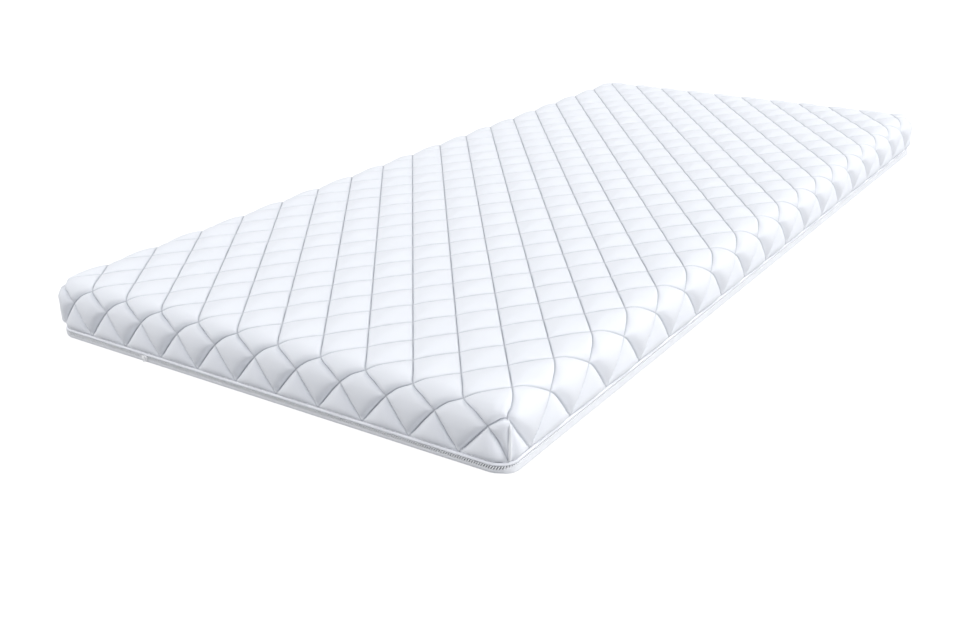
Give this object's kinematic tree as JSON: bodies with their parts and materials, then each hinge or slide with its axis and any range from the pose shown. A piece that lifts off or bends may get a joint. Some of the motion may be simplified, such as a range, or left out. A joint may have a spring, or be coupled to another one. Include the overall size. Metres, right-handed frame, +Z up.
{
  "type": "memory foam mattress",
  "caption": "Thin single foam mattress: bonded foams in a liner, a diamond-quilted cover with piped seam, a perimeter zip and a plain base cover.",
  "frame": {"origin": "middle of the underside, on the surface the mattress lies on", "axes": "+X across the width, +Y from the end with the zip slider towards the other end, +Z up"},
  "size_m": [0.9, 2, 0.1],
  "materials": {
    "memory_foam": "matte",
    "support_foam": "matte",
    "liner_knit": "matte",
    "quilted_knit": "matte",
    "wadding": "matte",
    "backing_cloth": "matte",
    "piping_cloth": "matte",
    "piping_filler": "matte",
    "zip_tape": "matte",
    "zip_coil": "satin",
    "zip_metal": "satin",
    "base_cloth": "matte",
    "band_cloth": "matte",
    "label_satin": "satin"
  },
  "bodies": {
    "base_cover": {"base_panel": "base_cloth", "base_band": "band_cloth", "lower_zip_tape": "zip_tape", "lower_zip_coil": "zip_coil", "lower_end_stop": "zip_metal", "care_label": "label_satin"},
    "foam_core": {"memory_foam_layer": "memory_foam", "support_foam_base": "support_foam", "inner_liner": "liner_knit"},
    "top_cover": {"cover_face_knit": "quilted_knit", "top_wadding": "wadding", "side_wadding": "wadding", "cover_backing": "backing_cloth", "corner_seam_front_left": "quilted_knit", "corner_seam_front_right": "quilted_knit", "corner_seam_back_left": "quilted_knit", "corner_seam_back_right": "quilted_knit", "piping_cover": "piping_cloth", "piping_cord": "piping_filler", "upper_zip_tape": "zip_tape", "upper_zip_coil": "zip_coil", "upper_end_stop": "zip_metal"},
    "zip_slider": {"slider_body": "zip_metal"},
    "puller": {"zip_puller": "zip_metal"}
  },
  "joints": [
    {"name": "core_lift", "type": "slide", "parent": "base_cover", "child": "foam_core", "axis": [0, 0, 1], "range_m": [0, 0.12]},
    {"name": "cover_lift", "type": "slide", "parent": "foam_core", "child": "top_cover", "axis": [0, 0, 1], "range_m": [0, 0.12]},
    {"name": "slider_run", "type": "slide", "parent": "base_cover", "child": "zip_slider", "axis": [1, 0, 0], "range_m": [0, 0.62]},
    {"name": "puller_swing", "type": "hinge", "parent": "zip_slider", "child": "puller", "pos_m": [-0.235, -0.99905, 0.0094], "axis": [-1, 0, 0], "range_deg": [0, 150]}
  ]
}
